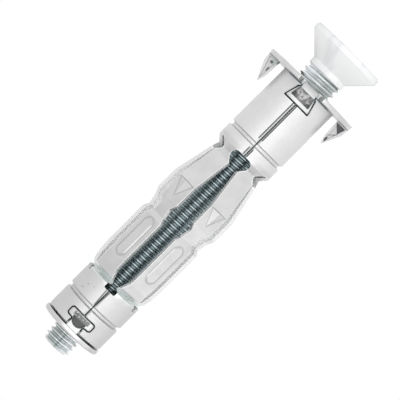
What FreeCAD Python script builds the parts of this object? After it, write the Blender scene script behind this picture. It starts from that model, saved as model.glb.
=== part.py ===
import FreeCAD, Part
import Sketcher
import math
import os

os.makedirs("parts", exist_ok=True)
doc = FreeCAD.newDocument("HollowWallAnchor")

# Driving sizes in millimetres. Heights run from the flat of the screw head, which lies at zero,
# towards the screw's tip.
SIZES = {
    "head_radius": 7.9,
    "head_rim": 1.25,
    "head_edge": 0.3,
    "shank_radius": 4.0,
    "shank_end": 18.0,
    "thread_radius": 3.0,
    "tip_chamfer": 0.6,
    "screw_length": 77.2,
    "recess_reach": 3.3,
    "recess_arm": 1.5,
    "recess_depth": 3.2,
    "recess_floor_reach": 1.5,
    "recess_floor_arm": 0.9,
    "collar_height": 9.5,
    "collar_radius": 10.3,
    "collar_sheet": 1.0,
    "collar_round": 0.2,
    "collar_clearance": 0.25,
    "bend_radius": 0.3,
    "dovetail_neck": 3.3,
    "dovetail_root": 4.0,
    "dovetail_end": 5.55,
    "dovetail_length": 3.35,
    "dovetail_relief": 0.6,
    "claw_inner": 7.5,
    "claw_length": 5.2,
    "claw_tip_reach": 8.15,
    "claw_shoulder_drop": 1.5,
    "claw_belly_reach": 9.26,
    "claw_belly_drop": 3.4,
    "claw_point": 0.5,
    "claw_rim": 0.5,
    "claw_hollow": 0.35,
    "stake_drop": 0.55,
    "stake_length": 2.0,
    "stake_top": 3.5,
    "stake_low": 4.2,
    "stake_depth": 0.2,
    "barrel_radius": 6.3,
    "sheet": 0.7,
    "upper_barrel": 16.9,
    "lower_barrel": 10.25,
    "leg_length": 34.1,
    "leg_count": 5,
    "leg_width": 4.55,
    "waist_width": 2.75,
    "foot_width": 5.3,
    "top_pinch": 1.15,
    "knee_bulge": 0.68,
    "shin_bulge": 0.22,
    "foot_pinch": 1.19,
    "fold_run": 1.3,
    "thigh_length": 10.6,
    "knee_length": 4.5,
    "notch_run": 1.4,
    "waist_drop": 3.4,
    "waist_pinch": 0.15,
    "shin_start": 1.1,
    "shoulder_length": 4.35,
    "shoulder_run": 1.88,
    "shoulder_drop": 0.18,
    "heel_run": 3.52,
    "heel_drop": 0.68,
    "foot_fold": 0.5,
    "end_hole_width": 4.4,
    "end_hole_round": 1.0,
    "end_hole_shoulder": 1.7,
    "end_hole_length": 2.9,
    "foot_hole_width": 2.56,
    "foot_hole_depth": 0.85,
    "foot_hole_round": 0.3,
    "ring_inset": 0.55,
    "ring_width": 1.0,
    "ring_slope": 0.25,
    "upper_ring_drop": 13.4,
    "lower_ring_rise": 4.7,
    "seam_gap": 0.12,
    "seam_mouth": 0.9,
    "seam_depth": 0.25,
    "tab_clearance": 0.25,
    "bead_height": 0.18,
    "bead_width": 2.3,
    "bead_length": 9.0,
    "bead_top": 0.3,
    "bead_slope": 0.2,
    "dart_width": 4.0,
    "dart_length": 3.8,
    "dart_height": 0.5,
    "dart_tip": 0.04,
    "dart_sink": 0.05,
    "cap_gap": 0.45,
    "cap_sheet": 0.95,
    "cap_radius": 6.5,
    "cap_round": 0.4,
    "thread_clearance": 0.05,
    "boss_radius": 4.4,
    "boss_length": 3.6,
    "boss_mouth": 0.4,
    "hammer_neck": 2.6,
    "hammer_width": 5.35,
    "hammer_head": 1.5,
    "hammer_length": 3.4,
    "hammer_round": 0.4,
    "hammer_throat": 0.5,
    "punch_rise": 2.35,
    "punch_radius": 1.45,
    "punch_depth": 0.3,
}

sheet = doc.addObject("Spreadsheet::Sheet", "Sizes")
for row, (alias, number) in enumerate(SIZES.items(), start=1):
    sheet.set(f"A{row}", alias)
    sheet.set(f"B{row}", str(number))
    sheet.setAlias(f"B{row}", alias)
doc.recompute()


class Formula:
    """A length with its number, for drawing, and its text, for binding it to the sheet."""

    def __init__(self, number, text):
        self.number = number
        self.text = text

    def join(self, sign, other, number):
        right = other.text if isinstance(other, Formula) else repr(other)
        return Formula(number, f"({self.text} {sign} {right})")

    def __add__(self, other):
        return self.join("+", other, self.number + plain(other))

    def __sub__(self, other):
        return self.join("-", other, self.number - plain(other))

    def __mul__(self, other):
        return self.join("*", other, self.number * plain(other))

    def __truediv__(self, other):
        return self.join("/", other, self.number / plain(other))

    def __neg__(self):
        return Formula(-self.number, f"(0 - {self.text})")


def plain(value):
    return value.number if isinstance(value, Formula) else value


def root(square):
    return Formula(math.sqrt(square.number), f"sqrt({square.text})")


def size(alias):
    return Formula(float(SIZES[alias]), f"Sizes.{alias}")


zero = Formula(0.0, "0")


class Arc:
    """A turn about a centre, counter-clockwise or clockwise, up to the next point."""

    def __init__(self, centre, clockwise=False):
        self.centre = centre
        self.clockwise = clockwise


def draw(sketch, outline):
    """Draws a closed outline. It lists points, with an Arc between two points that an arc joins."""
    points, arcs = [], {}
    for item in outline:
        if isinstance(item, Arc):
            arcs[len(points) - 1] = item
        else:
            points.append(item)
    first = sketch.GeometryCount
    spots = [FreeCAD.Vector(x.number, y.number, 0) for x, y in points]
    for k, start in enumerate(spots):
        end = spots[(k + 1) % len(spots)]
        if k in arcs:
            centre = FreeCAD.Vector(*[c.number for c in arcs[k].centre], 0)
            circle = Part.Circle(centre, FreeCAD.Vector(0, 0, 1), centre.distanceToPoint(start))
            angles = [math.atan2(p.y - centre.y, p.x - centre.x) for p in (start, end)]
            if arcs[k].clockwise:
                angles.reverse()
            sketch.addGeometry(Part.ArcOfCircle(circle, *angles), False)
        else:
            sketch.addGeometry(Part.LineSegment(start, end), False)

    def ends(k):
        return (2, 1) if k in arcs and arcs[k].clockwise else (1, 2)

    def place(kind, k, spot, value):
        row = sketch.addConstraint(Sketcher.Constraint(kind, -1, 1, k, spot, value.number))
        sketch.setExpression(f"Constraints[{row}]", value.text)

    for k, (x, y) in enumerate(points):
        after = (k + 1) % len(points)
        sketch.addConstraint(
            Sketcher.Constraint("Coincident", first + k, ends(k)[1], first + after, ends(after)[0])
        )
        place("DistanceX", first + k, ends(k)[0], x)
        place("DistanceY", first + k, ends(k)[0], y)
        if k in arcs:
            chord = spots[after] - spots[k]
            steep = abs(chord.y) > abs(chord.x)
            place("DistanceX" if steep else "DistanceY", first + k, 3, arcs[k].centre[0 if steep else 1])


def mirrored(half):
    """Closes an outline that is given for positive x only, from bottom to top or top to bottom."""
    other = []
    for item in reversed(half):
        if isinstance(item, Arc):
            centre = (-item.centre[0], item.centre[1])
            other.append(Arc(centre, item.clockwise))
        else:
            other.append((-item[0], item[1]))
    return half + other


def free_sketch(name, outlines, upright):
    """A sketch that stands alone, on the XY plane or, upright, on the XZ plane."""
    sketch = doc.addObject("Sketcher::SketchObject", name)
    if upright:
        sketch.Placement = FreeCAD.Placement(
            FreeCAD.Vector(0, 0, 0), FreeCAD.Rotation(FreeCAD.Vector(1, 0, 0), 90)
        )
    for outline in outlines:
        draw(sketch, outline)
    return sketch


def body_sketch(body, name, role, outline, lift=zero):
    """A sketch on one of the body's own origin planes, lifted along the plane's normal."""
    sketch = body.newObject("Sketcher::SketchObject", name)
    sketch.AttachmentSupport = [(origin_feature(body, role), "")]
    sketch.MapMode = "FlatFace"
    sketch.AttachmentOffset = FreeCAD.Placement(
        FreeCAD.Vector(0, 0, lift.number), FreeCAD.Rotation()
    )
    sketch.setExpression("AttachmentOffset.Base.z", lift.text)
    draw(sketch, outline)
    return sketch


def origin_feature(body, role):
    return next(o for o in body.Origin.OriginFeatures if o.Role == role)


def revolution(body, name, outline):
    """Turns an outline on the XZ plane round the Z axis."""
    feature = body.newObject("PartDesign::Revolution", name)
    feature.Profile = body_sketch(body, f"{name}Profile", "XZ_Plane", outline)
    feature.ReferenceAxis = (origin_feature(body, "Z_Axis"), [""])
    feature.Angle = 360
    return feature


def pocket_through(body, name, role, outline):
    """Cuts an outline right through the body, both ways from an origin plane."""
    feature = body.newObject("PartDesign::Pocket", name)
    feature.Profile = body_sketch(body, f"{name}Outline", role, outline)
    feature.Midplane = True
    feature.Type = "ThroughAll"
    return feature


def bind(target, prop, formula):
    setattr(target, prop, formula.number)
    target.setExpression(prop, formula.text)


def spread(body, name, originals):
    """Repeats features round the Z axis, once for each leg."""
    pattern = body.newObject("PartDesign::PolarPattern", name)
    pattern.Originals = originals
    pattern.Axis = (origin_feature(body, "Z_Axis"), [""])
    pattern.Angle = 360
    pattern.Occurrences = int(size("leg_count").number)
    pattern.setExpression("Occurrences", size("leg_count").text)
    body.Tip = pattern
    doc.recompute()
    return pattern


def spun(name, outline):
    """A solid of revolution round the Z axis from an upright outline."""
    solid = doc.addObject("Part::Revolution", name)
    solid.Source = free_sketch(f"{name}Profile", [outline], upright=True)
    solid.Axis = (0, 0, 1)
    solid.Base = (0, 0, 0)
    solid.Angle = 360
    solid.Solid = True
    return solid


def pushed(name, outlines, upright, half_depth):
    """A solid pushed out both ways from its sketch."""
    solid = doc.addObject("Part::Extrusion", name)
    solid.Base = free_sketch(f"{name}Outline", outlines, upright)
    solid.DirMode = "Normal"
    solid.Solid = True
    solid.Symmetric = True
    bind(solid, "LengthFwd", half_depth * 2)
    return solid


def combined(kind, name, first, second):
    result = doc.addObject(f"Part::{kind}", name)
    result.Base = first
    result.Tool = second
    return result


def fused(name, shapes):
    result = doc.addObject("Part::MultiFuse", name)
    result.Shapes = shapes
    result.Refine = True
    return result


# Heights that follow from the sizes
collar_seat = size("collar_height") + size("collar_sheet")
leg_top = collar_seat + size("upper_barrel")
leg_bottom = leg_top + size("leg_length")
sleeve_bottom = leg_bottom + size("lower_barrel")
cap_seat = sleeve_bottom + size("cap_gap")
cap_bottom = cap_seat + size("cap_sheet")
barrel = size("barrel_radius")
barrel_inside = barrel - size("sheet")


# Screw: countersunk head, a thick shank as far as the upper barrel, then the thinner thread
screw = doc.addObject("PartDesign::Body", "Screw")
screw.Label = "screw"
cone_top = size("head_rim") + size("head_radius") - size("shank_radius")
step_top = size("shank_end") + size("shank_radius") - size("thread_radius")
revolution(
    screw,
    "Turned",
    [
        (zero, zero),
        (size("head_radius") - size("head_edge"), zero),
        (size("head_radius"), size("head_edge")),
        (size("head_radius"), size("head_rim")),
        (size("shank_radius"), cone_top),
        (size("shank_radius"), size("shank_end")),
        (size("thread_radius"), step_top),
        (size("thread_radius"), size("screw_length") - size("tip_chamfer")),
        (size("thread_radius") - size("tip_chamfer"), size("screw_length")),
        (zero, size("screw_length")),
    ],
)


def cross(reach, arm):
    """A cross of four equal arms, given by its reach from the axis and the width of an arm."""
    side = arm / 2
    corner = [(reach, -side), (reach, side), (side, side)]
    outline = []
    for turn in range(4):
        for x, y in corner:
            for _ in range(turn):
                x, y = -y, x
            outline.append((x, y))
    return outline


recess = screw.newObject("PartDesign::SubtractiveLoft", "Recess")
recess.Profile = body_sketch(
    screw, "RecessMouth", "XY_Plane", cross(size("recess_reach"), size("recess_arm"))
)
recess.Sections = [
    body_sketch(
        screw,
        "RecessFloor",
        "XY_Plane",
        cross(size("recess_floor_reach"), size("recess_floor_arm")),
        size("recess_depth"),
    )
]
recess.Ruled = True


# Sleeve: one rolled sheet. Its seam is at the front, at negative Y, in line with one slot.
sleeve = doc.addObject("PartDesign::Body", "Sleeve")
sleeve.Label = "sleeve"


def barrel_outline(low, high, ring_low):
    """The wall of a barrel from low to high, with a rolled ring groove that starts at ring_low."""
    inset = size("ring_inset")
    slope = size("ring_slope")
    ring_high = ring_low + size("ring_width")
    return [
        (barrel_inside, low),
        (barrel, low),
        (barrel, ring_low),
        (barrel - inset, ring_low + slope),
        (barrel - inset, ring_high - slope),
        (barrel, ring_high),
        (barrel, high),
        (barrel_inside, high),
        (barrel_inside, ring_high),
        (barrel_inside - inset, ring_high - slope),
        (barrel_inside - inset, ring_low + slope),
        (barrel_inside, ring_low),
    ]


revolution(
    sleeve,
    "UpperBarrel",
    barrel_outline(collar_seat, leg_top, collar_seat + size("upper_ring_drop")),
)


def flat_section(reach, width):
    """A leg's section where it is flat, reach from the axis to its outer face."""
    side = width / 2
    inner = reach - size("sheet")
    return [(-side, inner), (side, inner), (side, reach), (-side, reach)]


def rolled_section(width):
    """A leg's section where it still has the barrel's curve."""
    side = width / 2
    centre = (zero, zero)
    inner = root(barrel_inside * barrel_inside - side * side)
    outer = root(barrel * barrel - side * side)
    return [
        (-side, inner),
        Arc(centre, clockwise=True),
        (side, inner),
        (side, outer),
        Arc(centre),
        (-side, outer),
    ]


# A leg is flat between its folds. It leans out to the knee, is pinched at the waist, where its sides
# are notched, and is drawn in again above the foot. Each section stands at one of those heights.
knee = barrel + size("knee_bulge")
shin = barrel + size("shin_bulge")
knee_top = leg_top + size("thigh_length")
knee_bottom = knee_top + size("knee_length")
notch = knee_bottom + size("notch_run")
waist = knee_bottom + size("waist_drop")
shin_top = waist + size("shin_start")
foot_crease = leg_bottom - size("foot_fold")
shin_bottom = foot_crease - size("shoulder_length")
waist_reach = barrel - size("waist_pinch")
notch_reach = knee - (knee - waist_reach) * size("notch_run") / size("waist_drop")
foot = barrel - size("foot_pinch")
sections = [
    (leg_top, rolled_section(size("leg_width"))),
    (leg_top + size("fold_run"), flat_section(barrel - size("top_pinch"), size("leg_width"))),
    (leg_top + size("fold_run") * 2, flat_section(barrel - size("top_pinch"), size("leg_width"))),
    (knee_top, flat_section(knee, size("leg_width"))),
    (knee_bottom, flat_section(knee, size("leg_width"))),
    (notch, flat_section(notch_reach, size("waist_width"))),
    (waist, flat_section(waist_reach, size("waist_width") + size("sheet") / 2)),
    (shin_top, flat_section(shin, size("leg_width"))),
    (shin_bottom, flat_section(shin, size("leg_width"))),
    (
        shin_bottom + size("shoulder_run"),
        flat_section(shin - size("shoulder_drop"), size("leg_width")),
    ),
    (
        shin_bottom + size("heel_run"),
        flat_section(shin - size("heel_drop"), size("foot_width")),
    ),
    (foot_crease, flat_section(foot, size("foot_width"))),
    (leg_bottom, rolled_section(size("foot_width"))),
]
leg_sketches = [
    body_sketch(sleeve, f"LegSection{k}", "XY_Plane", outline, height)
    for k, (height, outline) in enumerate(sections, start=1)
]
leg = sleeve.newObject("PartDesign::AdditiveLoft", "Leg")
leg.Profile = leg_sketches[0]
leg.Sections = leg_sketches[1:]
leg.Ruled = True
doc.recompute()


def bead_outline(grow):
    """The long bead seen from outside, grown or shrunk all round."""
    side = size("bead_width") / 2 + grow
    return [
        (side, bead_low),
        (side, bead_high),
        Arc((zero, bead_high)),
        (-side, bead_high),
        (-side, bead_low),
        Arc((zero, bead_low)),
    ]


def dart_section(height):
    """The dart cut across: a low ridge on the leg's outer face."""
    base = knee - size("dart_sink")
    side = size("dart_width") / 2
    return [(-side, base), (side, base), (zero, knee + height)]


# Two stampings stiffen each leg: a long flat-topped bead on the shin and a pointed dart at the knee
bead_low = shin_top + size("bead_top") + size("bead_width") / 2
bead_high = bead_low + size("bead_length") - size("bead_width")
bead = sleeve.newObject("PartDesign::AdditiveLoft", "Bead")
bead.Profile = body_sketch(
    sleeve, "BeadFoot", "XZ_Plane", bead_outline(size("bead_slope")), size("bead_height") - shin
)
bead.Sections = [
    body_sketch(
        sleeve,
        "BeadFace",
        "XZ_Plane",
        bead_outline(-size("bead_slope")),
        -size("bead_height") - shin,
    )
]
bead.Ruled = True

dart_end = knee - size("dart_sink")
dart = sleeve.newObject("PartDesign::AdditiveLoft", "Dart")
dart.Profile = body_sketch(
    sleeve, "DartMouth", "XY_Plane", dart_section(size("dart_height")), knee_top
)
dart.Sections = [
    body_sketch(
        sleeve,
        "DartTip",
        "XY_Plane",
        [
            (-size("dart_tip"), dart_end),
            (size("dart_tip"), dart_end),
            (zero, dart_end + size("dart_tip")),
        ],
        knee_top + size("dart_length"),
    )
]
dart.Ruled = True
doc.recompute()
spread(sleeve, "Legs", [leg, bead, dart])
revolution(
    sleeve,
    "LowerBarrel",
    barrel_outline(leg_bottom, sleeve_bottom, leg_bottom + size("lower_ring_rise")),
)


def end_hole(name, outline):
    """A hole at a slot's end, cut outward through the front of the wall and repeated."""
    cut = sleeve.newObject("PartDesign::Pocket", name)
    cut.Profile = body_sketch(sleeve, f"{name}Outline", "XZ_Plane", outline)
    cut.Type = "Length"
    bind(cut, "Length", knee + size("sheet"))
    cut.Reversed = True
    return spread(sleeve, f"{name}s", [cut])


# The slots end in holes: a wide one with rounded corners under the upper barrel, and a small one
# at the foot
hole_side = size("end_hole_width") / 2
hole_round = size("end_hole_round")
hole_low = leg_top - size("seam_gap")
hole_high = hole_low + size("end_hole_length")
end_hole(
    "TopHole",
    mirrored(
        [
            (hole_side - hole_round, hole_low),
            Arc((hole_side - hole_round, hole_low + hole_round)),
            (hole_side, hole_low + hole_round),
            (hole_side - size("seam_gap"), hole_low + size("end_hole_shoulder")),
            (hole_side / 2, hole_high),
        ]
    ),
)
foot_side = size("foot_hole_width") / 2
foot_low = leg_bottom - size("foot_fold") / 2
foot_high = leg_bottom + size("foot_hole_depth")
foot_round = size("foot_hole_round")
end_hole(
    "FootHole",
    mirrored(
        [
            (foot_side, foot_low),
            (foot_side, foot_high - foot_round),
            Arc((foot_side - foot_round, foot_high - foot_round)),
            (foot_side - foot_round, foot_high),
        ]
    ),
)


def dovetail(grow):
    """The collar's tab seen from the front. It widens from a neck at the bend to its end."""
    neck = size("dovetail_neck") / 2 + grow
    root_side = size("dovetail_root") / 2 + grow
    end_side = size("dovetail_end") / 2 + grow
    low = size("collar_height") - size("collar_sheet")
    return mirrored(
        [
            (neck, low),
            (neck, collar_seat + size("dovetail_relief") / 2),
            (root_side, collar_seat + size("dovetail_relief")),
            (end_side, collar_seat + size("dovetail_length") + grow),
        ]
    )


def hammer(grow):
    """The end cap's tab seen from the front: a neck and a rounded crosshead."""
    neck = size("hammer_neck") / 2 + grow
    side = size("hammer_width") / 2 + grow
    top = cap_seat - size("hammer_length") - grow
    head_bottom = cap_seat - size("hammer_length") + size("hammer_head") + grow
    corner = size("hammer_round") + grow
    throat = size("hammer_throat") - grow
    return mirrored(
        [
            (neck, cap_seat + size("cap_sheet") / 2),
            (neck, head_bottom + throat),
            Arc((neck + throat, head_bottom + throat), clockwise=False),
            (neck + throat, head_bottom),
            (side - corner, head_bottom),
            Arc((side - corner, head_bottom - corner), clockwise=True),
            (side, head_bottom - corner),
            (side, top + corner),
            Arc((side - corner, top + corner), clockwise=True),
            (side - corner, top),
        ]
    )


# Windows at front and back take the tabs of the collar and the end cap. The seam is a narrow gap
# whose edges are rolled over, so it is wider outside.
pocket_through(sleeve, "DovetailWindows", "XZ_Plane", dovetail(size("tab_clearance")))
pocket_through(sleeve, "HammerWindows", "XZ_Plane", hammer(size("tab_clearance")))
gap_side = size("seam_gap") / 2
mouth_side = size("seam_mouth") / 2
seam_inside = size("ring_inset") + size("sheet") + size("seam_depth") - barrel
seam = sleeve.newObject("PartDesign::Pocket", "Seam")
seam.Profile = body_sketch(
    sleeve,
    "SeamOutline",
    "XY_Plane",
    [
        (-mouth_side, -barrel),
        (-gap_side, size("seam_depth") - barrel),
        (-gap_side, seam_inside),
        (gap_side, seam_inside),
        (gap_side, size("seam_depth") - barrel),
        (mouth_side, -barrel),
    ],
)
seam.Midplane = True
seam.Type = "ThroughAll"
sleeve.Tip = seam
doc.recompute()


# Collar: a disc with two claws folded down at its sides and a dovetail tab at front and back
disc = spun(
    "Disc",
    [
        (size("shank_radius") + size("collar_clearance"), size("collar_height")),
        (size("collar_radius") - size("collar_round"), size("collar_height")),
        Arc(
            (
                size("collar_radius") - size("collar_round"),
                size("collar_height") + size("collar_round"),
            )
        ),
        (size("collar_radius"), size("collar_height") + size("collar_round")),
        (size("collar_radius"), collar_seat - size("collar_round")),
        Arc((size("collar_radius") - size("collar_round"), collar_seat - size("collar_round"))),
        (size("collar_radius") - size("collar_round"), collar_seat),
        (size("shank_radius") + size("collar_clearance"), collar_seat),
    ],
)
bend_outer = size("bend_radius") + size("collar_sheet")
bend_centre = barrel - bend_outer
tab_ring = spun(
    "TabRing",
    [
        (bend_centre - size("bend_radius"), size("collar_height")),
        (bend_centre, size("collar_height")),
        Arc((bend_centre, size("collar_height") + bend_outer)),
        (barrel, size("collar_height") + bend_outer),
        (barrel, collar_seat + size("dovetail_length")),
        (barrel - size("collar_sheet"), collar_seat + size("dovetail_length")),
        (barrel - size("collar_sheet"), collar_seat + size("bend_radius")),
        Arc((bend_centre, collar_seat + size("bend_radius")), clockwise=True),
        (bend_centre, collar_seat),
        (bend_centre - size("bend_radius"), collar_seat),
    ],
)
dovetail_plate = pushed("DovetailPlate", [dovetail(zero)], True, size("collar_radius"))
dovetails = combined("Common", "Dovetails", tab_ring, dovetail_plate)


def punched(name, tabs, outline, low, high, depth):
    """Cuts an outline between two heights into the curved outside of the tabs."""
    ring = spun(
        f"{name}Ring",
        [
            (barrel - depth, low),
            (barrel + depth, low),
            (barrel + depth, high),
            (barrel - depth, high),
        ],
    )
    plate = pushed(f"{name}Plate", [outline], True, size("collar_radius"))
    return combined("Cut", name, tabs, combined("Common", f"{name}Tool", ring, plate))


# A stake mark across each dovetail, left by the tool that locked it
stake_low = collar_seat + size("stake_drop")
stake_high = stake_low + size("stake_length")
staked_dovetails = punched(
    "StakedDovetails",
    dovetails,
    mirrored(
        [
            (size("stake_top") / 2, stake_low),
            (size("stake_low") / 2, stake_high),
        ]
    ),
    stake_low,
    stake_high,
    size("stake_depth"),
)

# Claws: cut from the disc, folded down and brought to a point
rim_clear = size("collar_radius") + size("collar_sheet")
claw_side = size("collar_sheet") / 2
claw_centre = -(claw_side + size("bend_radius"))
claw_end = collar_seat + size("claw_length")


def claw_window(side):
    """The opening that a claw leaves in the disc behind it."""
    outline = [
        (size("claw_inner"), claw_centre),
        (rim_clear, claw_centre),
        (rim_clear, size("claw_length")),
        (size("claw_tip_reach"), size("claw_length")),
    ]
    return [(x * side, y) for x, y in outline]


def claw_face(side):
    """A claw seen from the front: upright inside, and outside it follows the rim to its point."""
    outline = [
        (size("claw_inner"), size("collar_height")),
        (size("collar_radius"), size("collar_height")),
        (size("collar_radius") - size("collar_round"), collar_seat + size("claw_shoulder_drop")),
        (size("claw_belly_reach"), collar_seat + size("claw_belly_drop")),
        (size("claw_tip_reach") + size("claw_point") / 2, claw_end),
        (size("claw_tip_reach"), claw_end),
        (size("claw_inner") + size("collar_round"), collar_seat + size("claw_belly_drop")),
    ]
    return [(x * side, y) for x, y in outline]


def tab_notch(side):
    """The opening that a dovetail tab leaves in the disc in front of its bend."""
    inner = size("dovetail_root") / 2 + size("tab_clearance")
    outer = size("dovetail_end") / 2 + size("tab_clearance") * 2
    outline = [
        (-inner, bend_centre - size("bend_radius")),
        (inner, bend_centre - size("bend_radius")),
        (outer, rim_clear),
        (-outer, rim_clear),
    ]
    return [(x, y * side) for x, y in outline]


openings = pushed(
    "DiscOpenings",
    [claw_window(-1), claw_window(1), tab_notch(-1), tab_notch(1)],
    False,
    collar_seat * 2,
)
cut_disc = combined("Cut", "CutDisc", disc, openings)


def strip(name, outline):
    """A bar along X, right across the collar, from an outline on the YZ plane."""
    solid = doc.addObject("Part::Extrusion", name)
    solid.Base = doc.addObject("Sketcher::SketchObject", f"{name}Profile")
    solid.Base.Placement = FreeCAD.Placement(
        FreeCAD.Vector(0, 0, 0), FreeCAD.Rotation(FreeCAD.Vector(1, 1, 1), 120)
    )
    draw(solid.Base, outline)
    solid.DirMode = "Normal"
    solid.Solid = True
    solid.Symmetric = True
    bind(solid, "LengthFwd", rim_clear * 2)
    return solid


claw_strip = strip(
    "ClawStrip",
    [
        (claw_centre - size("bend_radius"), size("collar_height")),
        (claw_centre, size("collar_height")),
        Arc((claw_centre, size("collar_height") + bend_outer)),
        (claw_side, size("collar_height") + bend_outer),
        (claw_side, collar_seat + size("claw_belly_drop")),
        (zero, claw_end),
        (-claw_side, claw_end),
        (-claw_side, collar_seat + size("bend_radius")),
        Arc((claw_centre, collar_seat + size("bend_radius")), clockwise=True),
        (claw_centre, collar_seat),
        (claw_centre - size("bend_radius"), collar_seat),
    ],
)
claw_plate = pushed("ClawPlate", [claw_face(-1), claw_face(1)], True, size("collar_radius"))
claws = combined("Common", "Claws", claw_strip, claw_plate)

# The front of each claw is pressed hollow inside a rim, deepest at the bend
hollow_top = collar_seat + size("bend_radius")


def hollow_face(side):
    """The hollow seen from the front, one rim's width inside the claw's outline."""
    rim = size("claw_rim")
    belly = collar_seat + size("claw_belly_drop")
    outline = [
        (size("claw_inner") + rim, hollow_top),
        (size("collar_radius") - rim, hollow_top),
        (size("claw_belly_reach") - rim, belly),
        (size("claw_tip_reach") + size("claw_point") / 2, claw_end - rim),
        (size("claw_inner") + size("collar_round") + rim, belly),
    ]
    return [(x * side, y) for x, y in outline]


hollow_strip = strip(
    "HollowStrip",
    [
        (-claw_side - size("claw_hollow"), hollow_top),
        (-claw_side + size("claw_hollow"), hollow_top),
        (-claw_side + size("claw_hollow") / 2, claw_end),
        (-claw_side - size("claw_hollow"), claw_end),
    ],
)
hollow_plate = pushed(
    "HollowPlate", [hollow_face(-1), hollow_face(1)], True, size("collar_radius")
)
hollows = combined("Common", "Hollows", hollow_strip, hollow_plate)
pressed_claws = combined("Cut", "PressedClaws", claws, hollows)
collar = fused("Collar", [cut_disc, staked_dovetails, pressed_claws])
collar.Label = "collar"


# End cap: a plate with a threaded boss inside the barrel and a hammer tab at front and back
bore = size("thread_radius") + size("thread_clearance")
cap_turned = spun(
    "CapTurned",
    [
        (bore, cap_seat - size("boss_length")),
        (size("boss_radius"), cap_seat - size("boss_length")),
        (size("boss_radius"), cap_seat),
        (size("cap_radius"), cap_seat),
        (size("cap_radius"), cap_bottom - size("cap_round")),
        Arc((size("cap_radius") - size("cap_round"), cap_bottom - size("cap_round"))),
        (size("cap_radius") - size("cap_round"), cap_bottom),
        (bore + size("boss_mouth"), cap_bottom),
        (bore, cap_bottom - size("boss_mouth")),
    ],
)
tab_top = cap_seat - size("hammer_length")
hammer_ring = spun(
    "HammerRing",
    [
        (barrel_inside, tab_top - size("sheet")),
        (barrel, tab_top - size("sheet")),
        (barrel, cap_seat + size("cap_sheet") / 2),
        (barrel_inside, cap_seat + size("cap_sheet") / 2),
    ],
)
hammer_plate = pushed("HammerPlate", [hammer(zero)], True, size("collar_radius"))
hammers = combined("Common", "Hammers", hammer_ring, hammer_plate)
# A half-round punch mark on each hammer tab, its round side towards the plate
punch_top = cap_seat - size("punch_rise")
punched_hammers = punched(
    "PunchedHammers",
    hammers,
    [
        (size("punch_radius"), punch_top),
        Arc((zero, punch_top)),
        (-size("punch_radius"), punch_top),
    ],
    punch_top,
    punch_top + size("punch_radius"),
    size("punch_depth"),
)
end_cap = fused("EndCap", [cap_turned, punched_hammers])
end_cap.Label = "end_cap"
doc.recompute()

for item in doc.Objects:
    if "Invalid" in item.State or "Error" in item.State:
        raise RuntimeError(f"{item.Name} failed: {item.State}")
for piece in (screw, sleeve, collar, end_cap):
    shape = piece.Shape
    if shape.isNull() or not shape.isValid() or len(shape.Solids) != 1:
        raise RuntimeError(f"{piece.Label} is not one valid solid")
    shape.exportStep(f"parts/{piece.Label}.step")
    heights = [round(z, 2) for z in (shape.BoundBox.ZMin, shape.BoundBox.ZMax)]
    print(piece.Label, round(shape.Volume, 2), heights)
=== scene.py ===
# %% [markdown]
# A hollow wall anchor is a steel screw inside a slotted steel sleeve. Everything on it is zinc plated
# sheet or a rolled thread, so the look comes from two things: the fine helical threads, and metal
# that is satin on the faces, bright on the edges and dark in the creases.
# The CAD model gives the sheet pieces. The screw gets its real threads here.

import math

import bpy
from mathutils import Matrix, Vector


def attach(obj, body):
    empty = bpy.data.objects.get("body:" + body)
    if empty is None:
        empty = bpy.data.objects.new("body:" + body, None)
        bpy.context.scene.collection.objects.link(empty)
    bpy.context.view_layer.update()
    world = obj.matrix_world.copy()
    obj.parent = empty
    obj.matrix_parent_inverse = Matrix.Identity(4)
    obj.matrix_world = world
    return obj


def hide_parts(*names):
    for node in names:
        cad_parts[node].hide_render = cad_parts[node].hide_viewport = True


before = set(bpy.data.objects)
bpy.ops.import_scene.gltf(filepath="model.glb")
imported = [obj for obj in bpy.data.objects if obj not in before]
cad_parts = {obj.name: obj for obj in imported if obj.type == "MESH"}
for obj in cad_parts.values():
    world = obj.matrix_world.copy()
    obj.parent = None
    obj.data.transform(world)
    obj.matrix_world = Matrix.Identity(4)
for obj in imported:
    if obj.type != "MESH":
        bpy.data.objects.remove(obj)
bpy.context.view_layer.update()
MM = 0.001

# %% [markdown]
# The photograph is taken with a long lens, and the anchor lies across it from the top right corner to
# the bottom left one. The anchor stands on its head in the model, so the camera is rolled instead:
# the screw's axis runs down to the left, and the seam of the sleeve faces the camera.

# %% The camera
PIXELS = 400
FOCAL_PIXELS = 2430
SENSOR_WIDTH = 36
CLIP = (0.01, 20)
EYE = Vector((0, -450, 22.2)) * MM
AIM = Vector((0.06, 0, 38.9)) * MM


def place_camera():
    data = bpy.data.cameras.new("camera")
    data.sensor_width = SENSOR_WIDTH
    data.lens = FOCAL_PIXELS * SENSOR_WIDTH / PIXELS
    data.clip_start, data.clip_end = CLIP
    camera = bpy.data.objects.new("camera", data)
    bpy.context.scene.collection.objects.link(camera)
    back = (EYE - AIM).normalized()
    up = Vector((1, 0, -1))
    up = (up - up.dot(back) * back).normalized()
    right = up.cross(back)
    turn = Matrix((right, up, back)).transposed().to_4x4()
    camera.matrix_world = Matrix.Translation(EYE) @ turn
    bpy.context.scene.camera = camera
    return camera


camera = place_camera()
print("lens, mm:", round(camera.data.lens, 1))

# %% [markdown]
# Every finish on this anchor is zinc, clean, dirty or rubbed, mixed by masks that are worked out with
# numbers. That maths could be wired by hand, but it is easier to read as a Python expression, so a
# wrapped socket adds a Math node each time it meets an operator.

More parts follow.
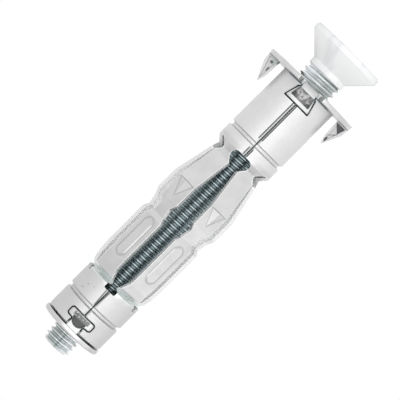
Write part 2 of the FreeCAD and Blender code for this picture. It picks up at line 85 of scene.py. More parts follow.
# %% Sockets with arithmetic
class Wire:
    """An output socket of a node, with the arithmetic of numbers."""

    def __init__(self, tree, socket):
        self.tree = tree
        self.socket = socket

    def maths(self, operation, first, second):
        return self.tree.node("ShaderNodeMath", {"operation": operation}, {0: first, 1: second})[0]

    def __add__(self, other):
        return self.maths("ADD", self, other)

    __radd__ = __add__

    def __mul__(self, other):
        return self.maths("MULTIPLY", self, other)

    __rmul__ = __mul__

    def __sub__(self, other):
        return self.maths("SUBTRACT", self, other)

    def __rsub__(self, other):
        return self.maths("SUBTRACT", other, self)

    def __truediv__(self, other):
        return self.maths("DIVIDE", self, other)

    def __pow__(self, other):
        return self.maths("POWER", self, other)

    def absolute(self):
        return self.maths("ABSOLUTE", self, 0)

    def sine(self):
        return self.maths("SINE", self, 0)

    def angle(self, other):
        """The angle of the point (other, self) round the origin, in radians."""
        return self.maths("ARCTAN2", self, other)

    def wrapped(self, half):
        """Brought back between -half and half by whole turns of the pattern."""
        return self.tree.node("ShaderNodeMath", {"operation": "WRAP"}, {0: self, 1: half, 2: -half})[0]

    def most(self, other):
        return self.maths("MAXIMUM", self, other)

    def ramp(self, low, high):
        """0 at low, 1 at high, and smooth between them."""
        settings = {"interpolation_type": "SMOOTHSTEP"}
        return self.tree.node("ShaderNodeMapRange", settings, {0: self, 1: low, 2: high})[0]

    def within(self, low, high, soft):
        """1 between low and high, fading to 0 over a soft edge."""
        return self.ramp(low - soft, low + soft) * (1 - self.ramp(high - soft, high + soft))


print("sockets can be added and multiplied")

# %% [markdown]
# A recipe is the node tree of one material, or of the world. All its nodes come from one method that
# takes their kind, settings and sockets, so each finish below stays a short list. Outputs are asked
# for by their number, and so are the two colours of a Mix node, because its sockets share names.

# %% Recipes for materials
OBJECT_COORDINATES = 3
CAMERA_RAY, GLOSSY_RAY, TRANSMISSION_RAY = 0, 3, 6
FIRST_COLOUR, SECOND_COLOUR = 6, 7


class Recipe:
    """A material's node tree, or the world's."""

    def __init__(self, owner):
        owner.use_nodes = True
        self.nodes = owner.node_tree.nodes
        self.links = owner.node_tree.links
        self.nodes.clear()

    def node(self, kind, settings, sockets):
        made = self.nodes.new(kind)
        for name, value in settings.items():
            setattr(made, name, value)
        for name, value in sockets.items():
            if isinstance(value, Wire):
                self.links.new(value.socket, made.inputs[name])
            else:
                made.inputs[name].default_value = value
        return [Wire(self, output) for output in made.outputs if output.enabled]

    def mix(self, mask, first, second):
        """The second colour where the mask is 1."""
        sockets = {"Factor": mask, FIRST_COLOUR: first, SECOND_COLOUR: second}
        return self.node("ShaderNodeMix", {"data_type": "RGBA"}, sockets)[0]

    def place(self):
        """Object coordinates in millimetres: the point, and its x, y and z."""
        point = self.node("ShaderNodeTexCoord", {}, {})[OBJECT_COORDINATES]
        sockets = {0: point, "Scale": 1 / MM}
        scaled = self.node("ShaderNodeVectorMath", {"operation": "SCALE"}, sockets)[0]
        return scaled, self.node("ShaderNodeSeparateXYZ", {}, {0: scaled})

    def seen(self):
        """1 where the camera, a reflection or a refraction looks."""
        rays = self.node("ShaderNodeLightPath", {}, {})
        return rays[CAMERA_RAY].most(rays[GLOSSY_RAY]).most(rays[TRANSMISSION_RAY])

    def noise(self, point, scale, detail=2.0, roughness=0.5):
        sockets = {"Vector": point, "Scale": scale, "Detail": detail, "Roughness": roughness}
        return self.node("ShaderNodeTexNoise", {}, sockets)[0]

    def stretched(self, point, across, along):
        """The point with its scale changed across and along the screw's axis."""
        factors = (across, across, along)
        return self.node("ShaderNodeVectorMath", {"operation": "MULTIPLY"}, {0: point, 1: factors})[0]


print("recipes ready")

# %% [markdown]
# Bright metal shows what is round it, and round this anchor is a white studio. Walls could be built,
# but a plain world gives the same even tones. It is white where the camera, a reflection or a
# refraction looks at it, and a little dimmer as a light, so that the satin faces turn light grey.

# %% The white room
ROOM_LIGHT = 0.76
WHITE = (1, 1, 1, 1)


def make_world():
    world = bpy.data.worlds.new("room")
    bpy.context.scene.world = world
    recipe = Recipe(world)
    strength = ROOM_LIGHT + recipe.seen() * (1 - ROOM_LIGHT)
    light = recipe.node("ShaderNodeBackground", {}, {"Color": WHITE, "Strength": strength})[0]
    recipe.node("ShaderNodeOutputWorld", {}, {"Surface": light})


make_world()
bpy.context.scene.view_settings.view_transform = "Standard"
print("room light:", ROOM_LIGHT)

# %% [markdown]
# Studio lamps are large and soft, so no hard spot of light lies on the metal. Two oval area lamps give
# the faces their slight difference in tone: a main one in front, and a weak one at the side.

# %% Two lamps
LIT_POINT = Vector((0, 0, 0.04))


def add_lamp(name, place, width, height, watts):
    data = bpy.data.lights.new(name, "AREA")
    data.shape = "ELLIPSE"
    data.size = width
    data.size_y = height
    data.energy = watts
    lamp = bpy.data.objects.new(name, data)
    bpy.context.scene.collection.objects.link(lamp)
    lamp.location = place
    lamp.rotation_euler = (LIT_POINT - Vector(place)).to_track_quat("-Z", "Y").to_euler()
    print(name, "lamp, W:", watts)


add_lamp("key", place=(-0.10, -0.80, 0.08), width=1.4, height=0.7, watts=3.2)
add_lamp("side", place=(-0.85, -0.20, 0.35), width=0.6, height=0.6, watts=0.45)

# %% [markdown]
# The anchor stands on its head on a pale floor, which throws light up into it. The floor could be left
# out, as the photograph shows none, but the metal would then lose its reflection. It glows a little
# where it is seen, so that it is as white as the room.

# %% The floor
FLOOR_REACH = 3.0
FLOOR_GLOW = 0.5
FLOOR_COLOUR = (0.9, 0.9, 0.9, 1)


def add_floor():
    bpy.ops.object.select_all(action="DESELECT")
    bpy.ops.mesh.primitive_plane_add(size=FLOOR_REACH, location=(0, 0, 0))
    floor = bpy.context.object
    floor.name = "floor"
    material = bpy.data.materials.new("floor")
    recipe = Recipe(material)
    matt = recipe.node("ShaderNodeBsdfDiffuse", {}, {"Color": FLOOR_COLOUR})[0]
    shine = {"Color": WHITE, "Strength": recipe.seen() * FLOOR_GLOW}
    glow = recipe.node("ShaderNodeEmission", {}, shine)[0]
    both = recipe.node("ShaderNodeAddShader", {}, {0: matt, 1: glow})[0]
    recipe.node("ShaderNodeOutputMaterial", {}, {"Surface": both})
    floor.data.materials.append(material)
    print("floor, m:", FLOOR_REACH)


add_floor()

# %% [markdown]
# The screw is one rolled piece with two threads, a coarse one under the head and a fine one to the
# tip. Rolling gives thin crests and round roots. Seen from the side, one pitch of that is a short
# upright line from root to root. A curve could be drawn for it, but nine points are enough, so it is
# drawn edge by edge, by pulling a single point along. The last root is the first one turned round.

# %% The profile of a thread
COARSE = {"outer": 4.0, "inner": 3.36, "pitch": 1.25, "start": 6.2, "end": 17.9}
FINE = {"outer": 3.0, "inner": 2.42, "pitch": 1.0, "start": 17.0, "end": 77.2}
ROOT_RISE, ROOT_ROUND, CREST_DROP = 0.015, 0.06, 0.03
PITCH_SHARES = (0, 0.07, 0.14, 0.40, 0.5, 0.60, 0.86, 0.93, 1.0)


def profile(thread):
    """Radius and height of one pitch, from a root to the next root."""
    low, high, pitch = thread["inner"], thread["outer"], thread["pitch"]
    root = (low, low + ROOT_RISE, low + ROOT_ROUND * pitch)
    crest = (high - CREST_DROP, high, high - CREST_DROP)
    radii = root + crest + root[::-1]
    return [(radius, share * pitch) for radius, share in zip(radii, PITCH_SHARES)]


def drawn_line(name, points):
    """A chain of edges: a plane merged to one vertex, which is extruded from point to point."""
    bpy.ops.object.select_all(action="DESELECT")
    bpy.ops.mesh.primitive_plane_add(size=MM, location=(0, 0, 0))
    piece = bpy.context.object
    piece.name = name
    bpy.ops.object.mode_set(mode="EDIT")
    bpy.ops.mesh.merge(type="CENTER")
    bpy.ops.transform.translate(value=points[0])
    for here, there in zip(points, points[1:]):
        bpy.ops.mesh.extrude_region_move(TRANSFORM_OT_translate={"value": there - here})
    bpy.ops.object.mode_set(mode="OBJECT")
    return piece


print("depth of the threads, mm:", [round(t["outer"] - t["inner"], 2) for t in (COARSE, FINE)])

# %% [markdown]
# A thread is a ridge that climbs one pitch for each turn. It could be a stack of rings, but a lens as
# close as this one shows that rings don't climb. So a Screw modifier winds the profile round the axis,
# and each turn meets the next. Both ends are then cut flat.

# %% Winding the threads
LEAD_IN = 1.5
TURN_STEPS = 40
SMOOTH_ANGLE = 40
MERGE_REACH = 0.0005
CUT_ACCURACY = 0.0001


def cut_flat(height, keep_above):
    bpy.ops.mesh.select_all(action="SELECT")
    bpy.ops.mesh.bisect(
        plane_co=(0, 0, height * MM),
        plane_no=(0, 0, 1),
        use_fill=True,
        threshold=CUT_ACCURACY * MM,
        clear_inner=keep_above,
        clear_outer=not keep_above,
    )


def rolled_thread(name, thread):
    first = thread["start"] - LEAD_IN * thread["pitch"]
    points = [Vector((radius, 0, first + height)) * MM for radius, height in profile(thread)]
    piece = drawn_line(name, points)
    winding = piece.modifiers.new("winding", "SCREW")
    winding.axis = "Z"
    winding.steps = winding.render_steps = TURN_STEPS
    winding.screw_offset = thread["pitch"] * MM
    winding.iterations = int((thread["end"] - first) / thread["pitch"]) + 2
    winding.use_merge_vertices = False
    bpy.ops.object.modifier_apply(modifier="winding")
    bpy.ops.object.mode_set(mode="EDIT")
    bpy.ops.mesh.select_all(action="SELECT")
    bpy.ops.mesh.remove_doubles(threshold=MERGE_REACH * MM)
    cut_flat(thread["start"], True)
    cut_flat(thread["end"], False)
    bpy.ops.mesh.select_all(action="SELECT")
    bpy.ops.mesh.normals_make_consistent(inside=False)
    bpy.ops.object.mode_set(mode="OBJECT")
    bpy.ops.object.shade_smooth_by_angle(angle=math.radians(SMOOTH_ANGLE))
    print(name, "turns:", round((thread["end"] - thread["start"]) / thread["pitch"], 1))
    return piece


coarse_thread = rolled_thread("coarse_thread", COARSE)
fine_thread = rolled_thread("fine_thread", FINE)

# %% [markdown]
# The end of the screw is bevelled, so that it finds its hole. Cutting a cone away would leave open
# crests to close, so the points that stand out of the cone are pulled in to it instead.

# %% The bevelled tip
TIP_BEVEL = 0.6


def bevel_tip(piece, reach):
    """Pulls the crests in along the bevel of the screw's end."""
    end = FINE["end"]
    for vertex in piece.data.vertices:
        limit = reach - TIP_BEVEL + (end - vertex.co.z / MM)
        radius = math.hypot(vertex.co.x, vertex.co.y) / MM
        if radius > limit > 0:
            vertex.co.x *= limit / radius
            vertex.co.y *= limit / radius


bevel_tip(fine_thread, FINE["outer"])
print("radius at the tip, mm:", FINE["outer"] - TIP_BEVEL)

# %% [markdown]
# The head is a cone with a thin rim and a cross recess for the driver. It could be turned and cut
# once more here, but the CAD screw already has that shape, so the head is a copy of it, cut off under
# the cone. The three meshes are joined, because the real screw is one piece too.

# %% The head
HEAD_CUT = 6.3
HEAD_SMOOTH_ANGLE = 35
HEAD_MERGE_REACH = 0.001


def select_only(piece):
    bpy.ops.object.select_all(action="DESELECT")
    piece.select_set(True)
    bpy.context.view_layer.objects.active = piece


def head_from_frame():
    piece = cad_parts["screw"].copy()
    piece.data = piece.data.copy()
    piece.name = "head"
    piece.parent = None
    # The frame's own labels stay on its own piece.
    for key in list(piece.keys()):
        del piece[key]
    bpy.context.scene.collection.objects.link(piece)
    select_only(piece)
    bpy.ops.object.mode_set(mode="EDIT")
    bpy.ops.mesh.select_all(action="SELECT")
    bpy.ops.mesh.remove_doubles(threshold=HEAD_MERGE_REACH * MM)
    cut_flat(HEAD_CUT, False)
    bpy.ops.object.mode_set(mode="OBJECT")
    bpy.ops.mesh.customdata_custom_splitnormals_clear()
    bpy.ops.object.shade_smooth_by_angle(angle=math.radians(HEAD_SMOOTH_ANGLE))
    return piece


head = head_from_frame()
select_only(head)
fine_thread.select_set(True)
coarse_thread.select_set(True)
bpy.ops.object.join()
screw = head
screw.name = "threaded_screw"
screw.data.materials.clear()
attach(screw, "screw")
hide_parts("screw")
print("screw triangles:", sum(len(face.vertices) - 2 for face in screw.data.polygons))

# %% [markdown]
# The creases of the plate are darkened with painted shade, and on sharp edges the zinc is painted
# bright, partly as rubbed wear and partly as a painted highlight. Each line could be painted by its
# place, but an ambient occlusion node finds the creases by itself, and the same node made from inside
# the metal finds the edges. Only the gaps round the tabs are given by their place, because their edges
# get painted shade instead.

# %% Creases, edges and gaps
OPENNESS = 1
HOLLOW_SAMPLES = 12
# From here on, a pair says where a stretch or a soft edge begins and ends, in millimetres.
COLLAR_TAB_FROM, COLLAR_TAB_TO = (10.75, 10.90), (13.8, 14.0)
CAP_TAB_FROM, CAP_TAB_TO = (68.35, 68.55), (71.9, 72.0)
TAB_FACE, TAB_SIDE = (4.8, 5.2), (3.2, 3.4)


def crease_mask(recipe, reach, strength):
    """Near 1 in a corner that is closed in within the reach, and 0 on an open face."""
    settings = {"samples": HOLLOW_SAMPLES}
    hollow = recipe.node("ShaderNodeAmbientOcclusion", settings, {"Distance": reach * MM})[OPENNESS]
    return (1 - hollow.ramp(0.25, 1.0)) * strength


def edge_mask(recipe, reach, strength):
    """Near 1 on a sharp outer edge: the same test, made from inside the metal."""
    settings = {"samples": HOLLOW_SAMPLES, "inside": True}
    solid = recipe.node("ShaderNodeAmbientOcclusion", settings, {"Distance": reach * MM})[OPENNESS]
    return (1 - solid.ramp(0.45, 0.95)) * strength


def beside_tabs(x, y, z):
    """1 round the tabs at front and back, where the edges beside the gaps get painted shade."""
    upper = z.ramp(*COLLAR_TAB_FROM) * (1 - z.ramp(*COLLAR_TAB_TO))
    lower = z.ramp(*CAP_TAB_FROM) * (1 - z.ramp(*CAP_TAB_TO))
    return (upper + lower) * y.absolute().ramp(*TAB_FACE) * (1 - x.absolute().ramp(*TAB_SIDE))


print("masks for creases, edges and gaps ready")

# %% [markdown]
# Zinc plating is a pale, nearly neutral grey. On the flat of the sheet it is satin, with soft clouds
# and fine marks from rolling. Each piece could have a material built from nothing, but the three
# sheet pieces share a bath, so they share this recipe, and each brings only the strength of its
# painted crease shade and its own marks. A bevel node rounds the edges, so that they catch the light.

# %% Zinc plate
PALE_ZINC = (0.60, 0.60, 0.60, 1)
CLOUDED_ZINC = (0.52, 0.52, 0.52, 1)
RUBBED_AND_HIGHLIGHT_ZINC = (0.86, 0.87, 0.87, 1)
PAINTED_SHADE = (0.07, 0.10, 0.11, 1)
BEVEL_SAMPLES = 6
EDGE_RADIUS = 0.12
RELIEF_DEPTH = 0.05
PLATE_METAL, MATT_LOSS = 0.9, 0.8
PLATE_ROUGHNESS, GRAIN_ROUGHNESS = 0.30, 0.12


def plate_material(name, crease_shade, marks):
    """Satin zinc, with so much painted shade in its creases. The marks are a function of the piece's
    own: it returns its colour, a relief to add, where the metal is matt, and a roughness to add."""
    material = bpy.data.materials.new(name)
    recipe = Recipe(material)
    point, (x, y, z) = recipe.place()
    clouds = recipe.noise(point, scale=0.35, detail=3.0)
    grain = recipe.noise(recipe.stretched(point, across=3.0, along=0.35), scale=2.2, detail=3.0)
    colour = recipe.mix(clouds.ramp(0.35, 0.7) * 0.6, PALE_ZINC, CLOUDED_ZINC)
    # Sharp edges: partly rubbed wear and partly a painted highlight, but painted shade beside the
    # tabs.
    edge_tone = recipe.mix(beside_tabs(x, y, z), RUBBED_AND_HIGHLIGHT_ZINC, PAINTED_SHADE)
    colour = recipe.mix(edge_mask(recipe, reach=0.25, strength=0.85), colour, edge_tone)
    # Painted shade in the creases, narrow and wide, found by ambient occlusion.
    narrow = crease_mask(recipe, reach=0.45, strength=crease_shade)
    wide = crease_mask(recipe, reach=2.0, strength=0.12)
    colour = recipe.mix(narrow.most(wide), colour, PAINTED_SHADE)
    colour, marked, matt, rough = marks(recipe, colour, point, x, y, z)
    rounding = {"Radius": EDGE_RADIUS * MM}
    rounded = recipe.node("ShaderNodeBevel", {"samples": BEVEL_SAMPLES}, rounding)[0]
    relief = grain * 0.4 + clouds * 0.8 + marked
    bump = {"Strength": 0.25, "Distance": RELIEF_DEPTH * MM, "Height": relief, "Normal": rounded}
    surface = {
        "Base Color": colour,
        "Metallic": PLATE_METAL - MATT_LOSS * matt,
        "Roughness": PLATE_ROUGHNESS + grain * GRAIN_ROUGHNESS + rough,
        "Normal": recipe.node("ShaderNodeBump", {}, bump)[0],
    }
    shader = recipe.node("ShaderNodeBsdfPrincipled", {}, surface)[0]
    recipe.node("ShaderNodeOutputMaterial", {}, {"Surface": shader})
    return material


def dress(name, material):
    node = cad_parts[name]
    node.data.materials.clear()
    node.data.materials.append(material)
    print(name, "gets", material.name)


print("plate roughness:", PLATE_ROUGHNESS)

# %% [markdown]
# Each leg is stamped with a dart under its knee and a long bead below it, and a thin dark line of
# painted shade lies at their foot. The punched sides of the slots are bare and smooth. The inner faces
# of the legs are painted pale, as painted light in their shade. At the outline the eye looks into the
# notches, and the cut faces there are matt and painted pale as painted light: nearly white at the
# holes and light grey between them. The five legs are alike, so the angle round the axis is wrapped
# into a fifth of a turn, and everything is drawn once instead of five times.

# %% Marks on the legs
TRUE_NORMAL = 3
LINE_SHADE_AND_SPECKS = (0.07, 0.08, 0.08, 1)
CUT_ZINC = (0.50, 0.51, 0.51, 1)
INSIDE_PAINTED_LIGHT = (0.90, 0.93, 0.93, 1)
NOTCH_PAINTED_LIGHT = (0.98, 0.97, 0.96, 1)
SIDE_CUT_PAINTED_LIGHT = (0.84, 0.84, 0.84, 1)
HALF_FIFTH = math.pi / 5
OUTER_FACE = (6.3, 6.45)
OUTLINE = (3.4, 4.0)
KNEE = 38.0
KNEE_LINE = (KNEE - 0.16, KNEE + 0.04)
DART_SIDE, DART_LENGTH = 1.8, 3.45
BEAD_SIDE, BEAD_STRAIGHT, BEAD_MIDDLE = 1.17, 3.35, 51.8
BEAD_ZONE = (46, 58)
INNER_FACES = (24, 66)
SLOT_SIDES = (29.5, 60.0)
NOTCHED = (26.9, 62.6)
BETWEEN_HOLES = (30.4, 60.7)


def stamped_shade_lines(across, z):
    """Lines of painted shade along the knee, the sides of the dart and the foot of the bead."""
    knee = z.within(*KNEE_LINE, 0.05) * (1 - across.ramp(1.8, 2.6))
    side = DART_SIDE - (z - KNEE) * (DART_SIDE / DART_LENGTH)
    dart = 1 - (across - side).absolute().ramp(0.04, 0.22)
    dart = dart * z.within(KNEE, KNEE + DART_LENGTH, 0.1)
    beyond = ((z - BEAD_MIDDLE).absolute() - BEAD_STRAIGHT).most(0)
    away = (across ** 2 + beyond ** 2) ** 0.5
    bead = (1 - (away - BEAD_SIDE).absolute().ramp(0.05, 0.40)) * z.within(*BEAD_ZONE, 0.5)
    return (knee * 0.4).most(dart * 0.30).most(bead * 0.22)


def turned_outward(recipe, x, y, reach):
    """1 where the face looks away from the axis, 0 where it looks sideways, -1 where it looks in."""
    normal = recipe.node("ShaderNodeNewGeometry", {}, {})[TRUE_NORMAL]
    outward = recipe.node("ShaderNodeCombineXYZ", {}, {0: x / reach, 1: y / reach})[0]
    settings = {"operation": "DOT_PRODUCT"}
    return recipe.node("ShaderNodeVectorMath", settings, {0: normal, 1: outward})[0]


def leg_marks(recipe, colour, x, y, z):
    """The colour, where the metal is matt, and a roughness to add."""
    turn = (y.angle(x) - math.pi / 2).wrapped(HALF_FIFTH)
    reach = (x * x + y * y) ** 0.5
    across = (turn.sine() * reach).absolute()
    # Painted shade along the stamped lines.
    lines = stamped_shade_lines(across, z) * reach.ramp(*OUTER_FACE)
    colour = recipe.mix(lines, colour, LINE_SHADE_AND_SPECKS)
    facing = turned_outward(recipe, x, y, reach)
    slot_side = (1 - facing.absolute().ramp(0.2, 0.5)) * z.within(*SLOT_SIDES, 0.5)
    colour = recipe.mix(slot_side * 0.9, colour, CUT_ZINC)
    # The inner faces get painted light in their shade.
    inside = (facing * -1).ramp(0.5, 0.8) * z.within(*INNER_FACES, 0.5)
    colour = recipe.mix(inside, colour, INSIDE_PAINTED_LIGHT)
    # Painted light on the cut faces in the notches: nearly white at the holes, light grey between
    # them.
    at_outline = x.absolute().ramp(*OUTLINE)
    notch = at_outline * (1 - facing.ramp(0.5, 0.8)) * z.within(*NOTCHED, 0.15)
    colour = recipe.mix(notch, colour, NOTCH_PAINTED_LIGHT)
    on_leg = z.within(*BETWEEN_HOLES, 0.15)
    not_inside = facing.ramp(-0.5, -0.2)
    side_cut = notch * on_leg * not_inside
    colour = recipe.mix(side_cut, colour, SIDE_CUT_PAINTED_LIGHT)
    matt = (notch * (1 - on_leg)).most(side_cut)
    rough = notch * (1 - not_inside) * 0.12 - slot_side * (1 - at_outline) * 0.2
    return colour, matt, rough


print("leg marks ready")

# %% [markdown]
# The sleeve was rolled up from a flat sheet, so a seam runs down its front: a gap between two lips,
# which stop at the ring grooves, both darkened with painted shade. Painted shade also lies under the
# collar's rim and beside the neck of the cap's tab. The upper barrel gets painted light and the lower
# one painted shade, the lower one has three small specks, both are more satin than the legs, and the
# fold at the foot of the legs gets a bluish painted shade. The lips could be modelled, but in the
# photograph they are only a line wide, so they are painted.

# %% Marks on the sleeve
FOOT_SHADE_TINT = (0.70, 0.75, 0.74, 1)
LOWER_PAINTED_SHADE = (0.60, 0.60, 0.60, 1)
UPPER_PAINTED_LIGHT = (0.76, 0.76, 0.76, 1)
UPPER_BARREL_TO = (26.0, 26.8)
LOWER_BARREL_FROM = (61.8, 62.5)
LOWER_SHADE_FROM = (60.5, 62.5)
FOOT_FOLD = (60.4, 61.7)
FRONT, FRONT_HALF = (-5.0, -4.0), (-2.4, -1.6)
SEAM_GAP, SEAM_MIDDLE = (0.08, 0.19), 0.08
LIP_SIDE, LIP_WIDTH, LIP_TAPER = 0.43, (0.06, 0.19), 0.09
ABOVE_GROOVE, BELOW_GROOVE, LOWER_SEAM = (14.0, 23.1), (25.3, 27.2), (62.3, 66.0)
RIM_SHADE, RIM_SIDE = (10.62, 10.85), (4.4, 5.9)
NECK_SIDE, NECK_GAP, NECK_FROM = 1.52, (0.10, 0.24), (70.75, 70.95)
BARREL_ROUGHNESS = 0.15
# Specks: how far across, how far along, and the radius.
SPECKS = ((3.7, 64.1, 0.22), (4.1, 65.2, 0.26), (2.5, 63.7, 0.16))


def seam_lips(side, z):
    """The two lips, which come together towards the cap."""
    lip = LIP_SIDE - (z - LOWER_SEAM[0]).most(0) * LIP_TAPER
    upper = z.within(*ABOVE_GROOVE, 0.1) + z.within(*BELOW_GROOVE, 0.3)
    lower = z.within(*LOWER_SEAM, 0.3)
    return (1 - (side - lip).absolute().ramp(*LIP_WIDTH)) * (upper + lower * 0.8)


def speckled(x, z):
    specks = 0
    for across, along, radius in SPECKS:
        away = ((x - across) ** 2 + (z - along) ** 2) ** 0.5
        specks = (1 - away.ramp(radius * 0.5, radius)) + specks
    return specks


def sleeve_marks(recipe, colour, point, x, y, z):
    upper_barrel = 1 - z.ramp(*UPPER_BARREL_TO)
    # Painted light on the upper barrel, painted shade on the lower one.
    colour = recipe.mix(upper_barrel * 0.5, colour, UPPER_PAINTED_LIGHT)
    colour = recipe.mix(z.ramp(*LOWER_SHADE_FROM) * 0.8, colour, LOWER_PAINTED_SHADE)
    colour, matt, rough = leg_marks(recipe, colour, x, y, z)
    front = 1 - y.ramp(*FRONT)
    side = (x - SEAM_MIDDLE).absolute()
    lips = seam_lips(side, z) * front
    gap = (1 - x.absolute().ramp(*SEAM_GAP)) * front
    # Painted shade in the seam's gap and along its lips.
    colour = recipe.mix(lips.most(gap) * 0.95, colour, LINE_SHADE_AND_SPECKS)
    under_rim = (1 - z.ramp(*RIM_SHADE)) * (1 - side.ramp(*RIM_SIDE)) * (1 - y.ramp(*FRONT_HALF))
    # Painted shadow under the collar's rim.
    colour = recipe.mix(under_rim * 0.9, colour, PAINTED_SHADE)
    # Bluish painted shade at the fold.
    colour = recipe.mix(z.within(*FOOT_FOLD, 0.3) * 0.8, colour, FOOT_SHADE_TINT)
    # Painted shade in the gaps beside the neck of the cap's tab.
    neck = 1 - (x.absolute() - NECK_SIDE).absolute().ramp(*NECK_GAP)
    colour = recipe.mix(neck * z.ramp(*NECK_FROM) * front * 0.9, colour, LINE_SHADE_AND_SPECKS)
    colour = recipe.mix(speckled(x, z) * front * 0.35, colour, LINE_SHADE_AND_SPECKS)
    barrels = z.ramp(*LOWER_BARREL_FROM) + upper_barrel
    return colour, lips * -0.5, matt, barrels * BARREL_ROUGHNESS + rough


dress("sleeve", plate_material("sleeve_zinc", crease_shade=0.7, marks=sleeve_marks))

# %% [markdown]
# A staking tool has pressed the end of each dovetail tab, so the metal there is torn and blotched. Its
# dark is partly torn metal and partly painted shade of the pressed dent, darkest in its lower corners.
# It could be a rough mesh, but noise in the colour and in the relief shows the same at this size.

# %% Staked tabs
GOUGE_SHADE = (0.03, 0.03, 0.03, 1)
STAKE_MARK_AND_SHADE = (0.12, 0.12, 0.12, 1)
TORN = (0.36, 0.36, 0.36, 1)
PATCH_TOP, PATCH_SIDE, PATCH_SPREAD = 11.05, 1.70, 0.17
PATCH_HEIGHT, PATCH_FACE = (11.08, 13.05), (5.5, 5.8)


def staked_patch(recipe, colour, point, x, y, z):
    """The colour, and the relief of the torn metal."""
    side = x.absolute()
    below = z - PATCH_TOP
    half = PATCH_SIDE + below * PATCH_SPREAD
    place = z.within(*PATCH_HEIGHT, 0.08) * (1 - (side - half).ramp(-0.08, 0.10))
    place = place * y.absolute().ramp(*PATCH_FACE)
    torn = recipe.noise(point, scale=1.9, detail=4.0, roughness=0.65)
    # Dark torn metal with painted shade, and the darkest painted shade in the lower corners.
    patch = recipe.mix(torn.ramp(0.46, 0.60), STAKE_MARK_AND_SHADE, TORN)
    corner = ((side / half) * below).ramp(0.7, 1.3)
    patch = recipe.mix(corner * 0.9, patch, GOUGE_SHADE)
    return recipe.mix(place * 0.95, colour, patch), place * torn * 3.0


print("staked patch, mm wide:", 2 * PATCH_SIDE)

# %% [markdown]
# The claws are folded down in a press, and both are painted darker as painted shade. The left one in
# the photograph is light grey with a bluish patch and three dark spots of painted shade, the right one
# has a dark hollow under a diagonal, a fold and a dark tip, all of painted shade. Such shallow shapes
# could be pressed into the mesh, but the light would hardly show them at this size, so they are
# painted: ovals for the spots, slanted lines for the hollow and the fold.

# %% Marks on the collar
SHADED_CLAW_ZINC = (0.42, 0.42, 0.42, 1)
CLAW_SHADE = (0.06, 0.06, 0.065, 1)
CLAW_SHADE_TINT = (0.30, 0.36, 0.35, 1)
RIM_LINE, RIM_FRONT, RIM_WIDTH = (10.42, 10.48), (-7.4, -6.8), (4.2, 6.0)
CLAW_SIDE, CLAW_TOP = (7.2, 7.4), (10.52, 10.62)
CLAW_FACES, CLAW_FRONT = (-0.9, -0.8), (0.2, 0.3)
# Ovals: the middle across and along, the half width and the half height.
TINTED_SHADE = (8.3, 11.2, 0.55, 0.8)
SHADE_SPOTS = ((8.76, 11.46, 0.40, 0.36), (8.40, 12.9, 0.20, 0.60), (7.72, 10.75, 0.25, 0.45))
DARK_TIP = (8.3, 14.45, 0.24, 0.60)
# Slanted lines: a point of the line across and along, and its slope.
HOLLOW_FROM = (7.85, 11.1, 1.03)
HOLLOW_TO = (9.75, 10.84, -0.28)
FOLD = (9.14, 12.7, -1.04)
HOLLOW_HEIGHT, FOLD_HEIGHT = (10.78, 12.6), (12.5, 13.8)


def oval(across, along, place):
    middle_across, middle_along, half_width, half_height = place
    wide = (across - middle_across) / half_width
    high = (along - middle_along) / half_height
    return 1 - ((wide ** 2 + high ** 2) ** 0.5).ramp(0.6, 1.15)


def past_line(across, along, line):
    start_across, start_along, slope = line
    return across - start_across - (along - start_along) * slope


def claw_marks(recipe, colour, x, y, z):
    side = x.absolute()
    on_claw = side.ramp(*CLAW_SIDE) * z.ramp(*CLAW_TOP) * y.ramp(*CLAW_FACES)
    # The claws are painted darker as painted shade.
    colour = recipe.mix(on_claw * 0.8, colour, SHADED_CLAW_ZINC)
    front_face = on_claw * (1 - y.ramp(*CLAW_FRONT))
    left = x.ramp(-1, 1) * front_face
    # A bluish patch of painted shade on the left claw.
    colour = recipe.mix(left * oval(side, z, TINTED_SHADE) * 0.6, colour, CLAW_SHADE_TINT)
    # Three dark spots of painted shade on the left claw.
    shade_spots = 0
    for place in SHADE_SPOTS:
        shade_spots = oval(side, z, place).most(shade_spots)
    colour = recipe.mix(left * shade_spots * 0.85, colour, CLAW_SHADE)
    right = (1 - x.ramp(-1, 1)) * front_face
    # Painted shade in the right claw's hollow and at its tip.
    hollow = past_line(side, z, HOLLOW_FROM).ramp(-0.08, 0.08)
    hollow = hollow * (1 - past_line(side, z, HOLLOW_TO).ramp(-0.12, 0.05))
    hollow = (hollow * z.within(*HOLLOW_HEIGHT, 0.08)).most(oval(side, z, DARK_TIP))
    colour = recipe.mix(right * hollow * 0.95, colour, CLAW_SHADE)
    # A line of painted shade along the fold.
    fold = 1 - past_line(side, z, FOLD).absolute().ramp(0.08, 0.24)
    return recipe.mix(right * fold * z.within(*FOLD_HEIGHT, 0.15) * 0.5, colour, CLAW_SHADE)


def collar_marks(recipe, colour, point, x, y, z):
    colour, relief = staked_patch(recipe, colour, point, x, y, z)
    # Painted shadow under the rim at the front.
    under_rim = z.ramp(*RIM_LINE) * (1 - y.ramp(*RIM_FRONT)) * (1 - x.absolute().ramp(*RIM_WIDTH))
    colour = recipe.mix(under_rim * 0.9, colour, PAINTED_SHADE)
    return claw_marks(recipe, colour, x, y, z), relief, 0, 0


dress("collar", plate_material("collar_zinc", crease_shade=0.9, marks=collar_marks))

# %% [markdown]
# The end cap's hammer tabs are spread by a round nosed punch, which leaves a bowl in the neck and a
# scuffed patch above it. The bowl is painted dark as painted shade, and the patch is partly scuffed
# metal and partly painted shade. Both are shallow, so they are painted as the marks of the collar are.

# %% Marks on the end cap
PUNCH_SHADE = (0.045, 0.045, 0.045, 1)
SCUFF_AND_SHADE = (0.10, 0.10, 0.10, 1)
PUNCH_TOP = 69.85
PUNCH_RADIUS = (1.35, 1.50)
CAP_FACE = (5.0, 5.4)
SCUFF_SIDE, SCUFF_HEIGHT = (1.6, 2.0), 0.9


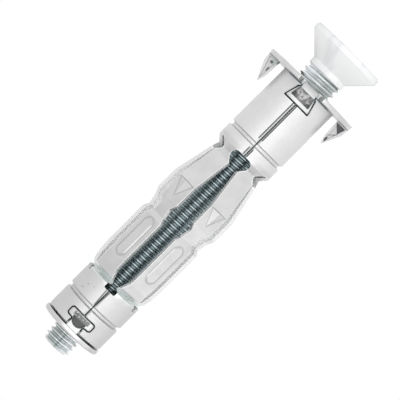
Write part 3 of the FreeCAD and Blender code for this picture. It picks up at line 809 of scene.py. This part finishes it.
def cap_marks(recipe, colour, point, x, y, z):
    face = y.absolute().ramp(*CAP_FACE)
    away = (x ** 2 + (z - PUNCH_TOP) ** 2) ** 0.5
    bowl = (1 - away.ramp(*PUNCH_RADIUS)) * z.ramp(PUNCH_TOP - 0.05, PUNCH_TOP + 0.15) * face
    scuff = 1 - x.absolute().ramp(*SCUFF_SIDE)
    scuff = scuff * z.within(PUNCH_TOP - SCUFF_HEIGHT, PUNCH_TOP, 0.12) * face
    torn = recipe.noise(point, scale=2.4, detail=4.0, roughness=0.6)
    # The scuffed patch: partly scuffed metal, partly painted shade.
    colour = recipe.mix(scuff * torn.ramp(0.2, 0.5) * 0.95, colour, SCUFF_AND_SHADE)
    # The bowl: painted shade.
    colour = recipe.mix(bowl * 0.95, colour, PUNCH_SHADE)
    return colour, scuff * torn * 1.5, 0, 0


dress("end_cap", plate_material("cap_zinc", crease_shade=0.95, marks=cap_marks))

# %% [markdown]
# The rolled screw is plated in the same bath, but it is smoother than the sheet. Inside the sleeve its
# thread is painted dark and blue as painted shade, lighter on the crests. A painted highlight lies on
# one side of the thread above the collar. At the tip one side is lit with a painted highlight, and a
# thin dark line of painted reflection runs along the thread. The head is the palest part, with faint
# streaks of painted shade down its cone. Head and threads could have a material each, but they are one
# piece, so one material changes with the height.

# %% Zinc on the screw
HEAD_ZINC = (0.97, 0.975, 0.98, 1)
HEAD_STREAK_SHADE = (0.84, 0.85, 0.86, 1)
SCREW_ZINC = (0.56, 0.595, 0.59, 1)
LIT_ZINC = (0.88, 0.90, 0.92, 1)
SHADED_ZINC = (0.33, 0.39, 0.405, 1)
HEAD_TO = (6.0, 6.9)
LIT_TO = (9.2, 9.8)
SHADED = (22.0, 72.5)
TIP_FROM = (72.8, 73.4)
FINE_CREST = (2.6, 3.0)
STREAK_SCALE = 0.03
ROLLED_DEPTH = 0.03


def screw_material():
    material = bpy.data.materials.new("zinc_screw")
    recipe = Recipe(material)
    point, (x, y, z) = recipe.place()
    radius = (x * x + y * y) ** 0.5
    spread = {0: x / radius, 1: y / radius, 2: z * STREAK_SCALE}
    # Faint streaks of painted shade down the head's cone.
    streaks = recipe.noise(recipe.node("ShaderNodeCombineXYZ", {}, spread)[0], scale=2.5)
    colour = recipe.mix(streaks.ramp(0.50, 0.66), HEAD_ZINC, HEAD_STREAK_SHADE)
    below_head = z.ramp(*HEAD_TO)
    colour = recipe.mix(below_head, colour, SCREW_ZINC)
    # A painted highlight on one side of the thread above the collar.
    lit = x.ramp(0.2, 2.4) * (1 - z.ramp(*LIT_TO)) * below_head
    colour = recipe.mix(lit * 0.8, colour, LIT_ZINC)
    # A painted highlight on one side of the tip, and a thin dark line of painted reflection.
    tip = z.ramp(*TIP_FROM)
    colour = recipe.mix(tip * (x * -1).ramp(0.3, 1.8) * 0.6, colour, LIT_ZINC)
    colour = recipe.mix(tip * (1 - x.absolute().ramp(0.10, 0.35)) * 0.35, colour, PAINTED_SHADE)
    # Painted shade on the thread inside the sleeve, lighter on the crests.
    in_shade = z.within(*SHADED, 0.8) * (1 - radius.ramp(*FINE_CREST) * 0.35)
    colour = recipe.mix(in_shade, colour, SHADED_ZINC)
    # Painted shade in the creases of the thread.
    creases = crease_mask(recipe, reach=0.5, strength=0.75) * below_head
    colour = recipe.mix(creases, colour, PAINTED_SHADE)
    clouds = recipe.noise(point, scale=0.8, detail=3.0)
    bump = {"Strength": 0.05, "Distance": ROLLED_DEPTH * MM, "Height": clouds}
    surface = {
        "Base Color": colour,
        "Metallic": below_head * 0.8 + 0.15,
        "Roughness": 0.52 - below_head * 0.3 + clouds * 0.12,
        "Normal": recipe.node("ShaderNodeBump", {}, bump)[0],
    }
    shader = recipe.node("ShaderNodeBsdfPrincipled", {}, surface)[0]
    recipe.node("ShaderNodeOutputMaterial", {}, {"Surface": shader})
    return material


screw.data.materials.append(screw_material())
print("zinc on the screw")
